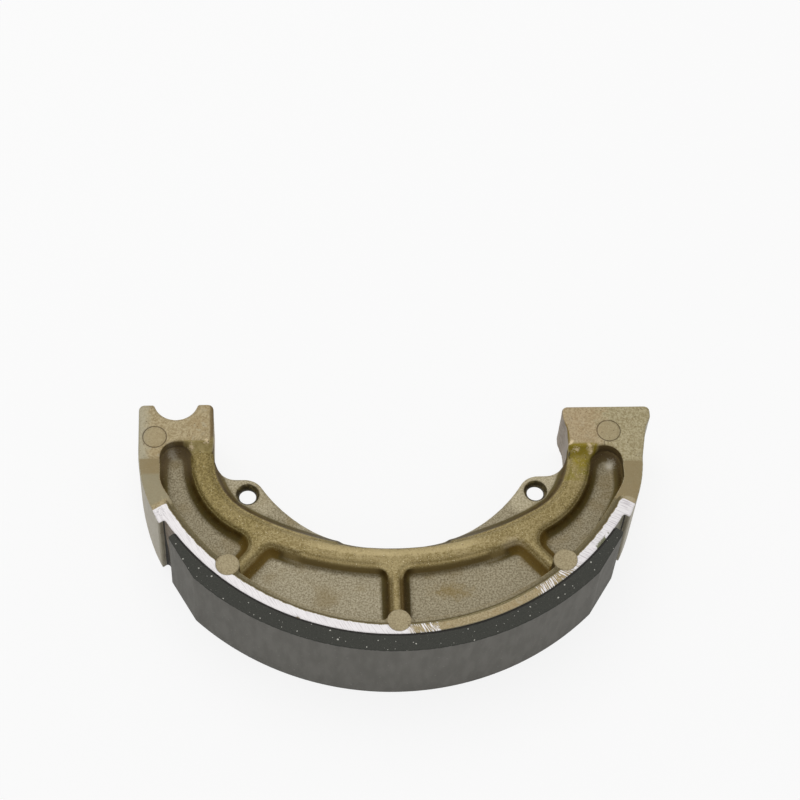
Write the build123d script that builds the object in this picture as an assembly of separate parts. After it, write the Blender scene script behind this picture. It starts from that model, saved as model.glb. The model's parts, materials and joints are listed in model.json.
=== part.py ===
from build123d import *
from math import asin, cos, radians, sin, sqrt, tan
import os

os.makedirs("parts", exist_ok=True)

# Brake shoe of a drum brake, lying flat. The drum's axis is Z, and the shoe's arc faces -Y.
# The anchor end is at -X and the cam end at +X. Z is 0 on the side face that it lies on.
# Angles are in degrees from -Y, positive towards the cam end. All sizes are in millimetres.

# Drum and width
drum_radius = 80.0
shoe_width = 29.0

# Friction lining
lining_thickness = 4.9
lining_half_angle = 54.5
bevel_start_angle = 44.4
bevel_end_thickness = 2.2

# Rim that the lining is bonded to, and the shoulders beyond the lining's ends
rim_thickness = 3.5
shoulder_gap_angle = 3.7
shoulder_height = 1.9
full_width_half_angle = 61.5
upper_ramp_slope = 14.0
lower_ramp_slope = 20.0
anchor_ramp_foot_y = -16.7
cam_ramp_foot_y = -19.2

# End blocks and heels, where an inset is counted from the drum's radius
block_thickness = 17.5
block_inset = 8.2
block_width = 21.3
anchor_block_bottom_y = -11.6
cam_block_bottom_y = -14.5
block_edge = 0.4
heel_bend_y = -14.0
heel_wall = 5.8
heel_wall_blend = 14.0

# Anchor end, a half-round seat between two tips
anchor_tip_y = 0.0
anchor_corner = 1.6
seat_corner = 2.0
anchor_pin_radius = 6.4
anchor_pin_inset = 10.6
anchor_pin_rise = 1.7
anchor_chamfer = 0.7

# Cam end, a wider head with a flat pad face
cam_face_y = -2.1
cam_inner_step = 1.1
cam_outer_step = 3.0
cam_head_depth = 3.4
cam_head_slant = 3.6
cam_taper_step = 1.4
cam_taper_inset = 0.8
cam_taper_depth = 19.9
cam_corner = 1.6

# Web and spring lugs
web_thickness = 4.1
shoe_depth = 36.2
spring_hole_radius = 2.4
spring_hole_mouth = 3.3
spring_hole_land = 1.1
spring_hole_setback = 4.6
spring_hole_angle = 57.9
lug_wall = 2.5
lug_corner = 5.5
lug_block_fillet = 6.5

# Bead that stiffens the inner edge
bead_thickness = 11.5
bead_width = 6.5
bead_arc_radius = 79.5
bead_setback = 0.4
bead_corner_radius = 19.5
bead_round = 2.0

# Pockets and the ribs between them
rib_angles = (-41.1, 0.0, 41.1)
rib_width = 3.4
rib_bevel = 1.0
pocket_corner = 2.8
end_pocket_corner = 4.0
end_pocket_outer_corner = 4.8
pocket_foot = 1.45
draft_angle = 4.0

# Marks of the ejector pins on the upper side
ejector_radius = 3.35
ejector_pad_setback = 0.8
ejector_pad_drop = 0.4
ring_width = 0.35
ring_depth = 0.3
anchor_ring_inset = 4.6
anchor_ring_y = -10.4
cam_ring_inset = 9.4
cam_ring_y = -10.1

# Worked out from the sizes above
seat_radius = drum_radius - lining_thickness
shoulder_radius = seat_radius + shoulder_height
shoulder_half_angle = lining_half_angle + shoulder_gap_angle
rim_inner_radius = seat_radius - rim_thickness
web_inner_radius = drum_radius - shoe_depth
spring_hole_distance = web_inner_radius + spring_hole_setback
bead_apex = web_inner_radius + bead_setback
block_outer_x = drum_radius - block_inset
block_inner_x = block_outer_x - block_width
anchor_pin = (anchor_pin_inset - block_outer_x, anchor_tip_y + anchor_pin_rise)
half_width = shoe_width / 2
half_web = web_thickness / 2
half_bead = bead_thickness / 2
half_block = block_thickness / 2
bead_rise = half_bead - half_web
foot = min(pocket_foot, 0.4 * bead_rise)
lip_round = min(bead_round, 0.55 * bead_rise)
draft_slope = tan(radians(draft_angle))
reach = 2 * drum_radius
up = (0, 0, 1)


def polar(radius, angle):
    """Point at a radius from the drum's axis, with the angle counted from -Y."""
    return (radius * sin(radians(angle)), -radius * cos(radians(angle)))


def arc(centre, radius, start, end):
    """The shorter arc about a centre from one point to another."""
    a = Vector(*start) - Vector(*centre)
    b = Vector(*end) - Vector(*centre)
    middle = Vector(*centre) + (a + b).normalized() * radius
    return ThreePointArc(start, middle, end)


def symmetric_face(edges):
    """Face inside a chain of edges, from the YZ plane round the +X side, and its mirror image."""
    mirrored = [edge.mirror(Plane.YZ) for edge in edges]
    return Face(Wire(edges + mirrored))


def outer_face():
    """Plan of the casting's outside: seat arc, shoulders and heels up to the anchor tips."""
    corner = polar(shoulder_radius, shoulder_half_angle)
    foot = polar(seat_radius, shoulder_half_angle)
    fall, run = block_outer_x - corner[0], heel_bend_y - corner[1]
    heel_radius = (fall**2 + run**2) / (2 * fall)
    heel_top = (block_outer_x, heel_bend_y)
    heel_centre = (block_outer_x - heel_radius, heel_bend_y)
    return symmetric_face([
        Line((0, anchor_tip_y), (block_outer_x, anchor_tip_y)),
        Line((block_outer_x, anchor_tip_y), heel_top),
        arc(heel_centre, heel_radius, heel_top, corner),
        Line(corner, foot),
        arc((0, 0), seat_radius, foot, (0, -seat_radius)),
    ])


def inner_void():
    """Plan of the empty space inside the arc, between the blocks and above the spring lugs."""
    hole = polar(spring_hole_distance, spring_hole_angle)
    lug_top = hole[1] + spring_hole_radius + lug_wall
    fillet_centre = (block_inner_x - lug_block_fillet, lug_top + lug_block_fillet)
    side_end = (block_inner_x, fillet_centre[1])
    shelf_end = (fillet_centre[0], lug_top)
    corner_y, corner_distance = lug_top - lug_corner, web_inner_radius + lug_corner
    corner_centre = (sqrt(corner_distance**2 - corner_y**2), corner_y)
    corner_start = (corner_centre[0], lug_top)
    towards = Vector(*corner_centre).normalized() * web_inner_radius
    corner_end = (towards.X, towards.Y)
    return symmetric_face([
        Line((0, reach), (block_inner_x, reach)),
        Line((block_inner_x, reach), side_end),
        arc(fillet_centre, lug_block_fillet, side_end, shelf_end),
        Line(shelf_end, corner_start),
        arc(corner_centre, lug_corner, corner_start, corner_end),
        arc((0, 0), web_inner_radius, corner_end, (0, -web_inner_radius)),
    ])


def bead_side(offset):
    """Plan inside the bead's inner edge, or inside a line that runs parallel to it further out."""
    side_x = block_inner_x + offset
    corner, long_arc = bead_corner_radius + offset, bead_arc_radius + offset
    centre_y = bead_arc_radius - bead_apex
    step = sqrt((long_arc - corner) ** 2 - (side_x - corner) ** 2)
    corner_centre = (side_x - corner, centre_y - step)
    turn = asin(corner_centre[0] / (long_arc - corner))
    join = (long_arc * sin(turn), centre_y - long_arc * cos(turn))
    side_end = (side_x, corner_centre[1])
    return symmetric_face([
        Line((0, reach), (side_x, reach)),
        Line((side_x, reach), side_end),
        arc(corner_centre, corner, side_end, join),
        arc((0, centre_y), long_arc, join, (0, centre_y - long_arc)),
    ])


def cam_head():
    """Plan of the cam end's wider head with its flat pad face and rounded corners."""
    low = cam_face_y - cam_head_depth
    neck = low - cam_head_slant
    inner_x, outer_x = block_inner_x - cam_inner_step, block_outer_x + cam_outer_step
    corners = [
        (inner_x, low),
        (block_inner_x, neck),
        (block_outer_x - cam_taper_inset, cam_face_y - cam_taper_depth),
        (block_outer_x + cam_taper_step, neck),
        (outer_x, low),
        (outer_x, cam_face_y),
        (inner_x, cam_face_y),
    ]
    head = make_face(Polyline(*corners, close=True)).face()
    return head.fillet_2d(cam_corner, head.vertices().group_by(Axis.Y)[-1])


def outline(height):
    """Solid over the casting's whole plan, with both ends shaped, from the mid-plane up."""
    plan = outer_face() - inner_void()
    plan -= Pos(reach / 2, cam_face_y - cam_head_depth + reach / 2) * Rectangle(reach, reach)
    plan -= Pos(*anchor_pin) * Circle(anchor_pin_radius)
    plan = plan.face()
    at_tips = [v for v in plan.vertices() if v.X < 0 and abs(v.Y - anchor_tip_y) < 1e-3]
    tips = sorted(at_tips, key=lambda v: v.X)
    plan = plan.fillet_2d(anchor_corner, [tips[0], tips[-1]])
    plan = plan.fillet_2d(seat_corner, tips[1:-1])
    return extrude(plan, amount=height, dir=up) + extrude(cam_head(), amount=height, dir=up)


def core_face():
    """Plan, at the height of the ribs, of everything inside the rim, the heels and the blocks."""
    rim_lean = draft_slope * (half_width - half_bead)
    block_lean = draft_slope * (half_block - half_bead)
    wall_x = block_outer_x - heel_wall - block_lean
    window = Pos(-wall_x / 2, anchor_block_bottom_y - block_lean - reach / 2) * Rectangle(wall_x, reach)
    window += Pos(wall_x / 2, cam_block_bottom_y - block_lean - reach / 2) * Rectangle(wall_x, reach)
    core = (Circle(rim_inner_radius - rim_lean) & window).face()
    core = core.fillet_2d(heel_wall_blend, core.vertices().group_by(Axis.Y)[0])
    corners = core.vertices().group_by(Axis.X)
    tops = [corners[0].sort_by(Axis.Y)[-1], corners[-1].sort_by(Axis.Y)[-1]]
    return core.fillet_2d(end_pocket_outer_corner, tops)


def rounded(face, radius):
    """The face with each outward corner rounded, by an offset inwards and back."""
    return offset(offset(face, amount=-radius), amount=radius, kind=Kind.ARC).face()


def pocket_faces():
    """Plans of the pockets between the ribs, with rounded corners."""
    plan = core_face() - bead_side(bead_width)
    for angle in rib_angles:
        plan -= Rot(0, 0, angle) * Pos(0, -drum_radius / 2) * Rectangle(rib_width, drum_radius)
    ends = plan.faces().sort_by(Axis.X)
    radii = [end_pocket_corner] + [pocket_corner] * (len(ends) - 2) + [end_pocket_corner]
    return [rounded(face, radius) for face, radius in zip(ends, radii)]


def drafted(face, low, high):
    """Solid over a plan between two heights, with its walls leaning outwards as it rises.

    The plan is true at the height of the ribs."""
    tool = Pos(0, 0, low) * extrude(face, amount=high - low, dir=up)
    walls = [f for f in tool.faces() if abs(f.normal_at().Z) < 0.5]
    return draft(walls, Plane.XY.offset(half_bead), draft_angle)


def pocket_tools():
    """Cutters for the pockets of one side, each with a sloping foot round its floor."""
    tools = []
    for face in pocket_faces():
        tool = drafted(face, half_web, half_width)
        floor_edges = tool.edges().group_by(Axis.Z)[0]
        tools.append(chamfer(floor_edges, foot))
    return tools


def bead_mould():
    """Slab whose inner side has the bead's wall, with a sloping foot and a rounded top edge."""
    opening = drafted(bead_side(0), half_web, half_width)
    foot_edges = opening.edges().group_by(Axis.Z)[0]
    opening = chamfer(foot_edges, foot)
    slab = Pos(0, 0, half_bead / 2) * Box(4 * reach, 4 * reach, half_bead) - opening
    top = slab.faces().sort_by(Axis.Z)[-1]
    return fillet(top.inner_wires()[0].edges(), lip_round)


def spine():
    """Upper half of the web, bead and ribs, from the mid-plane up."""
    slab = outline(half_bead) & bead_mould()
    for tool in pocket_tools():
        slab -= tool
    top = max(slab.faces().group_by(Axis.Z)[-1], key=lambda f: f.area)
    lips = [e for wire in top.inner_wires() for e in wire.edges()]
    return chamfer(lips, rib_bevel)


def slope_cutter(level, uphill, slope, start):
    """Wedge above a plane that contains a level line and rises at a slope from a start point."""
    rising = Vector(*uphill) * cos(radians(slope)) + Vector(0, 0, sin(radians(slope)))
    normal = Vector(*level).cross(rising)
    if normal.Z < 0:
        normal = -normal
    plane = Plane(origin=start, x_dir=level, z_dir=normal)
    return plane * Pos(0, 0, shoe_width / 2) * Box(reach, reach, shoe_width)


def ramp_cutter(side):
    """Cutter above the two slopes that fall from the full-width rim to an end block."""
    band_end = polar(drum_radius, side * full_width_half_angle)
    radial = Vector(*band_end).normalized()
    foot = (band_end[0], anchor_ramp_foot_y if side < 0 else cam_ramp_foot_y, half_block)
    inwards = radial.rotate(Axis.Z, -side * 90)
    cutter = slope_cutter(radial, inwards, upper_ramp_slope, (*band_end, half_width))
    cutter += slope_cutter((1, 0, 0), (0, -1, 0), lower_ramp_slope, foot)
    far = 3 * drum_radius
    corners = [(0, 0), polar(far, side * full_width_half_angle), (side * far, 0)]
    beyond_band = make_face(Polyline(*corners, close=True))
    return cutter & extrude(beyond_band, amount=shoe_width, dir=up)


def core_tool():
    """Cutter for the whole space inside rim, heel walls and blocks."""
    return drafted(core_face(), 0, shoe_width)


def rim_and_heels():
    """Upper half of the rim at full width, the shoulders and the ramps down to the blocks."""
    rim = outline(half_width) - core_tool()
    for side in (-1, 1):
        rim -= ramp_cutter(side)
    return rim


def end_blocks():
    """Upper half of both end blocks and of the heels beside the end pockets."""
    blocks = outline(half_block)
    end_edges = [e for e in blocks.edges().group_by(Axis.Z)[-1] if (e @ 0.5).Y > heel_bend_y / 2]
    far = 3 * drum_radius
    left, right = polar(far, -full_width_half_angle), polar(far, full_width_half_angle)
    sector = make_face(Polyline((0, 0), left, right, close=True))
    return chamfer(end_edges, block_edge) - extrude(sector, amount=half_block, dir=up) - core_tool()


def spring_hole(side):
    """Cutter for a return spring's hole: a short land between two countersinks."""
    x, y = polar(spring_hole_distance, side * spring_hole_angle)
    sink = (web_thickness - spring_hole_land) / 2
    land = Cylinder(spring_hole_radius, web_thickness)
    mouth = Pos(0, 0, half_web - sink / 2) * Cone(spring_hole_radius, spring_hole_mouth, sink)
    return Pos(x, y, half_width) * (land + mouth + mirror(mouth, about=Plane.XY))


def anchor_edge(face):
    """Cone that breaks the edge of the anchor pin's seat on one side face."""
    cone = Cone(anchor_pin_radius, anchor_pin_radius + anchor_chamfer, anchor_chamfer)
    cone = Pos(*anchor_pin, half_block - anchor_chamfer / 2) * cone
    return Pos(0, 0, half_width) * (cone if face > 0 else mirror(cone, about=Plane.XY))


def with_ejector_pad(body, angle):
    """The body with a round boss where a rib meets the rim, left a little below the rim's face."""
    x, y = polar(rim_inner_radius - ejector_pad_setback, angle)
    height = half_width - ejector_pad_drop
    recess = Pos(x, y, half_width + height + half_width) * Cylinder(ejector_radius, shoe_width)
    boss = Pos(x, y, half_width + height / 2) * Cylinder(ejector_radius, height)
    return body - recess + boss


def ejector_ring(x, y):
    """Thin round groove that an ejector pin leaves on a block's face."""
    ring = Cylinder(ejector_radius + ring_width / 2, ring_depth)
    ring -= Cylinder(ejector_radius - ring_width / 2, ring_depth)
    return Pos(x, y, half_width + half_block - ring_depth / 2) * ring


def casting():
    """The whole aluminium casting, with the same pockets, bead and blocks on both sides."""
    half = spine() + rim_and_heels() + end_blocks()
    body = Pos(0, 0, half_width) * (half + mirror(half, about=Plane.XY))
    for side in (-1, 1):
        body -= spring_hole(side)
        body -= anchor_edge(side)
    for angle in rib_angles:
        body = with_ejector_pad(body, angle)
    body -= ejector_ring(anchor_ring_inset - block_outer_x, anchor_ring_y)
    body -= ejector_ring(block_outer_x - cam_ring_inset, cam_ring_y)
    return body


def friction_lining():
    """The bonded lining: a curved pad whose ends are bevelled flat towards the drum."""
    heel = polar(seat_radius, lining_half_angle)
    tip = polar(seat_radius + bevel_end_thickness, lining_half_angle)
    bevel = polar(drum_radius, bevel_start_angle)
    plan = symmetric_face([
        arc((0, 0), seat_radius, (0, -seat_radius), heel),
        Line(heel, tip),
        Line(tip, bevel),
        arc((0, 0), drum_radius, bevel, (0, -drum_radius)),
    ])
    return extrude(plan, amount=shoe_width, dir=up)


export_step(casting(), "parts/shoe_casting.step")
export_step(friction_lining(), "parts/friction_lining.step")
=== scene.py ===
# %% [markdown]
# # A drum brake shoe, dressed for a close look
# The part is a curved aluminium casting with a friction lining glued to its outer arc.
# The exact solids come from the CAD model as a fixed frame. This lesson puts the worn
# cast skin, the machined edge and the grainy lining around them, in metres, in the same frame.

# %% Load the frame
import json
import math
import bmesh
import bpy
import numpy as np
from mathutils import Matrix, Vector
from mathutils.kdtree import KDTree

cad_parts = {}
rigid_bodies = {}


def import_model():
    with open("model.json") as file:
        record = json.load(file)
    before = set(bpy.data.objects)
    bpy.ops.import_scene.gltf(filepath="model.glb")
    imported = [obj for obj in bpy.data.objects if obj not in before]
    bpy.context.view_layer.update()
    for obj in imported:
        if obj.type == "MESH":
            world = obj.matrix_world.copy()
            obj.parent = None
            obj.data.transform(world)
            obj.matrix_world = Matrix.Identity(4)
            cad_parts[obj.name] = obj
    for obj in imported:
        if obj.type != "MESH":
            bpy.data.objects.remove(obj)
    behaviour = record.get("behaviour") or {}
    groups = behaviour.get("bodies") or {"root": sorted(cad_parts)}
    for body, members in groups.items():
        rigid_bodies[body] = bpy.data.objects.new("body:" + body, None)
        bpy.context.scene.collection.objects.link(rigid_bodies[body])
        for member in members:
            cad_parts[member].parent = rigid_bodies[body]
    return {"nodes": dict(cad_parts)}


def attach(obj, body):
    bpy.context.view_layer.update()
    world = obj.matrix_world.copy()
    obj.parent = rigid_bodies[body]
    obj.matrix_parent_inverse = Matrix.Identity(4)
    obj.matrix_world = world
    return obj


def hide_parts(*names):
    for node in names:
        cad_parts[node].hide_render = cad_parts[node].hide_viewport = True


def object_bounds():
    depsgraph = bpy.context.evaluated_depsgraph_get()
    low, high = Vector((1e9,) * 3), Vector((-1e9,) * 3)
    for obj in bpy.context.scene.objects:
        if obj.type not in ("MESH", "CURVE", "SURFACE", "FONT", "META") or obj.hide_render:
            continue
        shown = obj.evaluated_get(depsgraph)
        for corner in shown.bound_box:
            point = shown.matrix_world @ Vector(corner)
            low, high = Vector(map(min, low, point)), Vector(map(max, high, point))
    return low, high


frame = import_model()
cad_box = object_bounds()
MM = 0.001
print("CAD box in mm:", [[round(v / MM, 2) for v in corner] for corner in cad_box])

# %% [markdown]
# ## Shader sums as plain Python
# A node material is a sum written with boxes and wires. A small class can hold one wire and
# overload the arithmetic signs, so each mask below reads as one line of maths and its
# Math nodes appear by themselves.


# %% A wire that takes part in sums
class Wire:
    """One output socket of a material, usable in Python arithmetic."""

    def __init__(self, finish, socket):
        self.finish = finish
        self.socket = socket

    def math(self, operation, *others):
        """A Math node whose first value is this wire."""
        values = dict(enumerate((self, *others)))
        return self.finish.node("ShaderNodeMath", {"operation": operation}, values)

    def __add__(self, other):
        return self.math("ADD", other)

    def __sub__(self, other):
        return self.math("SUBTRACT", other)

    def __rsub__(self, other):
        return self.finish.node("ShaderNodeMath", {"operation": "SUBTRACT"}, {0: other, 1: self})

    def __mul__(self, other):
        return self.math("MULTIPLY", other)

    def __truediv__(self, other):
        return self.math("DIVIDE", other)

    __radd__ = __add__
    __rmul__ = __mul__

    def rise(self, low, high):
        """0 below one value, 1 above the other, and a smooth step between them."""
        ends = {"Value": self, "From Min": low, "From Max": high}
        return self.finish.node("ShaderNodeMapRange", {"interpolation_type": "SMOOTHSTEP"}, ends)

    def between(self, low, high, soft):
        """1 between two values, fading out over a soft edge outside each."""
        return self.rise(low - soft, low) * (1 - self.rise(high, high + soft))


# %% A material to be written with wires
class Finish:
    """A material whose nodes are made by the sums that use them."""

    def __init__(self, name):
        self.material = bpy.data.materials.new(name)
        self.material.use_nodes = True
        self.tree = self.material.node_tree
        self.shader = self.tree.nodes["Principled BSDF"]

    def feed(self, socket, value):
        """Links a wire to a socket, or sets a plain value on it."""
        if isinstance(value, Wire):
            self.tree.links.new(value.socket, socket)
        else:
            socket.default_value = value

    def node(self, kind, settings, inputs, output=0):
        """Adds a node with its settings and inputs, and returns one of its outputs."""
        made = self.tree.nodes.new(kind)
        for key, value in settings.items():
            setattr(made, key, value)
        for key, value in inputs.items():
            self.feed(made.inputs[key], value)
        return Wire(self, made.outputs[output])

    def set(self, **values):
        """Feeds the shader's sockets, whose names are written with underscores for spaces."""
        for key, value in values.items():
            self.feed(self.shader.inputs[key.replace("_", " ")], value)


# %% [markdown]
# ## Helpers that every finish here shares
# Places on the part are read in millimetres from the object's own coordinates, so a mask can
# use the drawing's sizes. Colours are given as the eye reads them and turned to linear light.

# %% Places, grain and colours
def linear(red, green, blue):
    """Linear colour of an 8-bit screen colour."""
    parts = [v / 255 for v in (red, green, blue)]
    return (*[v / 12.92 if v <= 0.04045 else ((v + 0.055) / 1.055) ** 2.4 for v in parts], 1.0)


def place(finish):
    """Position in millimetres as a vector, and its x, y and z."""
    here = finish.node("ShaderNodeTexCoord", {}, {}, "Object")
    scaled = finish.node("ShaderNodeVectorMath", {"operation": "SCALE"}, {0: here, "Scale": 1 / MM})
    axes = [finish.node("ShaderNodeSeparateXYZ", {}, {0: scaled}, axis) for axis in "XYZ"]
    return scaled, *axes


def grain(finish, where, size, detail=2.0, roughness=0.5):
    """Soft noise from 0 to 1 whose blotches are about this many millimetres wide."""
    inputs = {"Vector": where, "Scale": 1 / size, "Detail": detail, "Roughness": roughness}
    return finish.node("ShaderNodeTexNoise", {}, inputs, "Fac")


def blend(finish, factor, first, second):
    """First colour where the factor is 0, second where it is 1."""
    return finish.node("ShaderNodeMix", {"data_type": "RGBA"}, {0: factor, 6: first, 7: second}, 2)


def bumped(finish, height, depth):
    """Normal of a surface whose height in millimetres follows a wire times a depth."""
    inputs = {"Height": height, "Distance": depth * MM, "Strength": 1.0}
    return finish.node("ShaderNodeBump", {}, inputs)


# %% [markdown]
# ## The camera
# The photograph was taken from above the lining's side, turned a little and tilted. The lens
# and the place were solved from the arc, the width and the ends of the shoe, and are set here
# as real distances, so that the render has the photograph's frame.

# %% Camera
FRAME_PIXELS = 800
FOCAL_PIXELS = 2557
CAMERA_ELEVATION = math.radians(60.87)
CAMERA_DISTANCE = 727.8
CAMERA_ROLL = math.radians(-4.79)
SHOE_TURN = math.radians(6.2)
SHOE_SHIFT = Vector((-2.84, 2.31, -29.0))

to_part = Matrix.Rotation(-SHOE_TURN, 3, "Z")
right = Vector((1, 0, 0))
upwards = Vector((0, math.sin(CAMERA_ELEVATION), math.cos(CAMERA_ELEVATION)))
back = right.cross(upwards)
rolled_right = right * math.cos(CAMERA_ROLL) - upwards * math.sin(CAMERA_ROLL)
rolled_up = right * math.sin(CAMERA_ROLL) + upwards * math.cos(CAMERA_ROLL)
eye = to_part @ (back * CAMERA_DISTANCE - SHOE_SHIFT)

camera_data = bpy.data.cameras.new("camera")
camera_data.sensor_width = 36
camera_data.lens = FOCAL_PIXELS / FRAME_PIXELS * camera_data.sensor_width
camera_data.clip_start = 0.01
camera = bpy.data.objects.new("camera", camera_data)
bpy.context.scene.collection.objects.link(camera)
turn = Matrix([to_part @ rolled_right, to_part @ rolled_up, to_part @ back]).transposed()
camera.matrix_world = Matrix.Translation(eye * MM) @ turn.to_4x4()
bpy.context.scene.camera = camera
print("camera at", [round(v, 1) for v in eye], "mm with a lens of", round(camera_data.lens, 1), "mm")

# %% [markdown]
# ## Floor, sky and lamps
# The shoe lies on a white ground. A white floor and a white sky are seen by the camera and by
# reflections at strength 1, while the light that falls on the shoe stays at a plain level.
# One wide soft lamp above gives the walls their shade.

# %% Floor and sky
def plain_white_ray(tree):
    """1 for rays from the camera, a reflection or a clear body, 0 for light that bounces softly."""
    path = tree.nodes.new("ShaderNodeLightPath")
    total = None
    for ray in ("Is Camera Ray", "Is Glossy Ray", "Is Transmission Ray"):
        if total is None:
            total = path.outputs[ray]
            continue
        larger = tree.nodes.new("ShaderNodeMath")
        larger.operation = "MAXIMUM"
        tree.links.new(total, larger.inputs[0])
        tree.links.new(path.outputs[ray], larger.inputs[1])
        total = larger.outputs[0]
    return total


SKY_LIGHT = 0.55
world = bpy.data.worlds.new("white_room")
bpy.context.scene.world = world
world.use_nodes = True
sky = world.node_tree
background = sky.nodes["Background"]
background.inputs["Color"].default_value = (1, 1, 1, 1)
strength = sky.nodes.new("ShaderNodeMapRange")
strength.inputs["To Min"].default_value = SKY_LIGHT
strength.inputs["To Max"].default_value = 1.0
sky.links.new(plain_white_ray(sky), strength.inputs["Value"])
sky.links.new(strength.outputs["Result"], background.inputs["Strength"])

FLOOR_SHADE = 0.15
floor_finish = Finish("white_ground")
floor_finish.set(Base_Color=(0.9, 0.9, 0.9, 1), Roughness=0.9)
glow = floor_finish.node("ShaderNodeEmission", {}, {"Color": (1, 1, 1, 1), "Strength": 1.0})
white = Wire(floor_finish, plain_white_ray(floor_finish.tree)) * (1 - FLOOR_SHADE)
principled = Wire(floor_finish, floor_finish.shader.outputs[0])
shown = floor_finish.node("ShaderNodeMixShader", {}, {0: white, 1: principled, 2: glow})
output = floor_finish.tree.nodes["Material Output"]
floor_finish.feed(output.inputs["Surface"], shown)

FLOOR_SIZE = 6
FLOOR_DROP = 0.05
bpy.ops.mesh.primitive_plane_add(size=FLOOR_SIZE, location=(0, 0, -FLOOR_DROP * MM))
floor = bpy.context.object
floor.name = "ground"
floor.data.materials.append(floor_finish.material)
print("floor", FLOOR_SIZE, "m wide under a sky of strength", SKY_LIGHT)

# %% [markdown]
# A single square lamp, wide and nearly overhead, keeps the shadows soft and on one side. It
# stands a little behind the shoe, so that faces turned to the hub are brighter than the rest.

# %% Lamps
LAMP_PLACE = (-150, 250, 900)
LAMP_SIZE = 700
LAMP_POWER = 2.7
SHOE_MIDDLE = (0, -40, 14)


def soft_lamp(name, place_mm, size_mm, power):
    """Square lamp that faces the middle of the shoe."""
    data = bpy.data.lights.new(name, "AREA")
    data.size = size_mm * MM
    data.energy = power
    lamp = bpy.data.objects.new(name, data)
    bpy.context.scene.collection.objects.link(lamp)
    lamp.location = Vector(place_mm) * MM
    aim = Vector(SHOE_MIDDLE) * MM - lamp.location
    lamp.rotation_euler = aim.to_track_quat("-Z", "Y").to_euler()
    return lamp


soft_lamp("lamp_above", LAMP_PLACE, LAMP_SIZE, LAMP_POWER)
print("one soft lamp", LAMP_SIZE, "mm wide")

# %% [markdown]
# ## The casting's shape
# A die casting has no sharp corners: its feet, lips and ribs are rounded where the metal
# flowed. The CAD solid carries the sizes with small straight chamfers. Here a copy of it is
# remeshed to fine voxels, smoothed so that the chamfers turn round, and thinned again.

# %% Mesh helpers
def applied(piece, kind, **settings):
    """Adds a modifier to the piece, sets it and applies it to the mesh."""
    made = piece.modifiers.new(kind.lower(), kind)
    for key, value in settings.items():
        setattr(made, key, value)
    with bpy.context.temp_override(object=piece, active_object=piece, selected_objects=[piece]):
        bpy.ops.object.modifier_apply(modifier=made.name)
    return piece


def copy_of_node(node, name):
    """A free copy of a CAD node's mesh under a new name, with no material."""
    mesh = frame["nodes"][node].data.copy()
    mesh.name = name
    mesh.materials.clear()
    piece = bpy.data.objects.new(name, mesh)
    bpy.context.scene.collection.objects.link(piece)
    return piece


def vertex_places(mesh):
    """All vertex places in millimetres as an array."""
    flat = np.zeros(len(mesh.vertices) * 3)
    mesh.vertices.foreach_get("co", flat)
    return flat.reshape(-1, 3) / MM


def set_places(mesh, places):
    """Moves all vertices to places given in millimetres."""
    mesh.vertices.foreach_set("co", (places * MM).ravel())
    mesh.update()


def keep_in_box(piece):
    """Clips every point to the CAD box, so that the looks can't change the size."""
    slack = 0.0005
    low, high = [np.array(corner) / MM for corner in cad_box]
    set_places(piece.data, np.clip(vertex_places(piece.data), low + slack, high - slack))


def on_arc(radius_mm, degrees):
    """Plan point at a radius, with the angle counted from the middle of the arc."""
    turned = math.radians(degrees)
    return Vector((radius_mm * math.sin(turned), -radius_mm * math.cos(turned)))


# %% [markdown]
# The bead rises to the end blocks over a short slope, and the pocket beside it ends in a
# rounded corner that rises with it. A prism and a small fan of triangles over each start of
# the bead are enough, because the remesh melts them into the casting. Heights count from the
# casting's middle plane, which lies 14.5 mm above the ground, and both stay a twentieth of a
# millimetre under the block's face, so that they leave no step on it.

# %% Casting body with the bead's rises
MID_HEIGHT = 14.5
FLOOR_LEVEL = 2.05
BEAD_HALF = 5.75
BLOCK_HALF = 8.75
BLOCK_EDGES = {-1: -11.6, 1: -14.5}
RISE_RUN = 2.8
RISE_X = (50.7, 57.4)
SUNK = 0.05
CORNER_ARCS = {
    -1: ((61.0, -11.5), (59.4, -11.7), (58.2, -12.4), (57.3, -13.4), (56.7, -14.8)),
    1: ((61.0, -14.6), (59.6, -14.9), (58.5, -15.7), (57.5, -16.8), (56.9, -18.2)),
}
CAST_VOXEL = 0.36


def on_face(side, face, x_mm, y_mm, height):
    """Point on one end and one face of the casting, in metres."""
    return Vector((side * x_mm, y_mm, MID_HEIGHT + face * height)) * MM


def add_rise(shape, side, face):
    """Prism that slopes from a block's face down to the bead."""
    edge_y = BLOCK_EDGES[side]
    profile = (
        (edge_y + 0.8, BEAD_HALF - 0.8),
        (edge_y + 0.8, BLOCK_HALF - SUNK),
        (edge_y, BLOCK_HALF - SUNK),
        (edge_y - RISE_RUN, BEAD_HALF - 0.1),
        (edge_y - RISE_RUN, BEAD_HALF - 0.8),
    )
    near, far = [
        [shape.verts.new(on_face(side, face, x_mm, *point)) for point in profile]
        for x_mm in RISE_X
    ]
    for i in range(len(profile)):
        j = (i + 1) % len(profile)
        shape.faces.new((near[i], near[j], far[j], far[i]))
    shape.faces.new(near)
    shape.faces.new(list(reversed(far)))


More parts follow.
